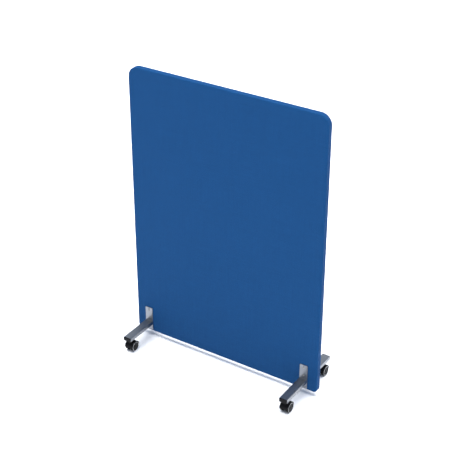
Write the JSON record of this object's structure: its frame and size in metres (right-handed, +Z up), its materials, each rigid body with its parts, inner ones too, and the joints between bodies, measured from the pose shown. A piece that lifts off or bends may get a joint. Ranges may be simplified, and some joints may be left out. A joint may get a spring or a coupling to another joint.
{
  "type": "mobile partition wall",
  "caption": "Free-standing fabric-covered partition screen on two low steel feet with swivelling twin-wheel castors.",
  "frame": {"origin": "on the floor, under the middle of the panel", "axes": "+Z up, +X along the panel, +Y through the panel towards its back; the front face looks along -Y"},
  "size_m": [1, 0.4, 1.397],
  "materials": {
    "cover_fabric": "matt woven",
    "wadding": "matt",
    "softboard": "matt",
    "timber": "planed",
    "beech": "turned",
    "plate_steel": "satin silver",
    "tube_steel": "satin silver",
    "zinc_steel": "zinc plated",
    "black_plastic": "moulded",
    "wheel_plastic": "moulded",
    "ring_plastic": "moulded"
  },
  "bodies": {
    "screen": {"back_cover": "cover_fabric", "back_left_arm": "tube_steel", "back_left_castor_stem": "zinc_steel", "back_left_end_cap": "black_plastic", "back_left_plate": "plate_steel", "back_padding": "wadding", "back_right_arm": "tube_steel", "back_right_castor_stem": "zinc_steel", "back_right_end_cap": "black_plastic", "back_right_plate": "plate_steel", "bottom_rail": "timber", "clamp_bolts": "zinc_steel", "corner_blocks": "timber", "foot_blocks": "timber", "front_cover": "cover_fabric", "front_left_arm": "tube_steel", "front_left_castor_stem": "zinc_steel", "front_left_end_cap": "black_plastic", "front_left_plate": "plate_steel", "front_padding": "wadding", "front_right_arm": "tube_steel", "front_right_castor_stem": "zinc_steel", "front_right_end_cap": "black_plastic", "front_right_plate": "plate_steel", "left_stile": "timber", "lower_core": "softboard", "mid_rail": "timber", "rail_dowels": "beech", "right_stile": "timber", "rivet_nuts": "zinc_steel", "sleeve_nuts": "zinc_steel", "stile_dowels": "beech", "top_rail": "timber", "upper_core": "softboard", "weld_beads": "tube_steel"},
    "front_left_castor": {"front_left_castor_housing": "black_plastic", "front_left_castor_axle": "zinc_steel"},
    "front_left_castor_left_wheel": {"front_left_castor_left_wheel": "wheel_plastic", "front_left_castor_left_ring": "ring_plastic"},
    "front_left_castor_right_wheel": {"front_left_castor_right_wheel": "wheel_plastic", "front_left_castor_right_ring": "ring_plastic"},
    "front_right_castor": {"front_right_castor_housing": "black_plastic", "front_right_castor_axle": "zinc_steel"},
    "front_right_castor_left_wheel": {"front_right_castor_left_wheel": "wheel_plastic", "front_right_castor_left_ring": "ring_plastic"},
    "front_right_castor_right_wheel": {"front_right_castor_right_wheel": "wheel_plastic", "front_right_castor_right_ring": "ring_plastic"},
    "back_left_castor": {"back_left_castor_housing": "black_plastic", "back_left_castor_axle": "zinc_steel"},
    "back_left_castor_left_wheel": {"back_left_castor_left_wheel": "wheel_plastic", "back_left_castor_left_ring": "ring_plastic"},
    "back_left_castor_right_wheel": {"back_left_castor_right_wheel": "wheel_plastic", "back_left_castor_right_ring": "ring_plastic"},
    "back_right_castor": {"back_right_castor_housing": "black_plastic", "back_right_castor_axle": "zinc_steel"},
    "back_right_castor_left_wheel": {"back_right_castor_left_wheel": "wheel_plastic", "back_right_castor_left_ring": "ring_plastic"},
    "back_right_castor_right_wheel": {"back_right_castor_right_wheel": "wheel_plastic", "back_right_castor_right_ring": "ring_plastic"}
  },
  "joints": [
    {"name": "front_left_castor_swivel", "type": "hinge", "parent": "screen", "child": "front_left_castor", "pos_m": [-0.431, -0.173, 0.055], "axis": [0, 0, 1], "continuous": true},
    {"name": "front_left_castor_left_wheel_spin", "type": "hinge", "parent": "front_left_castor", "child": "front_left_castor_left_wheel", "pos_m": [-0.431, -0.163, 0.025], "axis": [1, 0, 0], "continuous": true},
    {"name": "front_left_castor_right_wheel_spin", "type": "hinge", "parent": "front_left_castor", "child": "front_left_castor_right_wheel", "pos_m": [-0.431, -0.163, 0.025], "axis": [1, 0, 0], "continuous": true},
    {"name": "front_right_castor_swivel", "type": "hinge", "parent": "screen", "child": "front_right_castor", "pos_m": [0.431, -0.173, 0.055], "axis": [0, 0, 1], "continuous": true},
    {"name": "front_right_castor_left_wheel_spin", "type": "hinge", "parent": "front_right_castor", "child": "front_right_castor_left_wheel", "pos_m": [0.431, -0.163, 0.025], "axis": [1, 0, 0], "continuous": true},
    {"name": "front_right_castor_right_wheel_spin", "type": "hinge", "parent": "front_right_castor", "child": "front_right_castor_right_wheel", "pos_m": [0.431, -0.163, 0.025], "axis": [1, 0, 0], "continuous": true},
    {"name": "back_left_castor_swivel", "type": "hinge", "parent": "screen", "child": "back_left_castor", "pos_m": [-0.431, 0.173, 0.055], "axis": [0, 0, 1], "continuous": true},
    {"name": "back_left_castor_left_wheel_spin", "type": "hinge", "parent": "back_left_castor", "child": "back_left_castor_left_wheel", "pos_m": [-0.431, 0.163, 0.025], "axis": [1, 0, 0], "continuous": true},
    {"name": "back_left_castor_right_wheel_spin", "type": "hinge", "parent": "back_left_castor", "child": "back_left_castor_right_wheel", "pos_m": [-0.431, 0.163, 0.025], "axis": [1, 0, 0], "continuous": true},
    {"name": "back_right_castor_swivel", "type": "hinge", "parent": "screen", "child": "back_right_castor", "pos_m": [0.431, 0.173, 0.055], "axis": [0, 0, 1], "continuous": true},
    {"name": "back_right_castor_left_wheel_spin", "type": "hinge", "parent": "back_right_castor", "child": "back_right_castor_left_wheel", "pos_m": [0.431, 0.163, 0.025], "axis": [1, 0, 0], "continuous": true},
    {"name": "back_right_castor_right_wheel_spin", "type": "hinge", "parent": "back_right_castor", "child": "back_right_castor_right_wheel", "pos_m": [0.431, 0.163, 0.025], "axis": [1, 0, 0], "continuous": true}
  ]
}
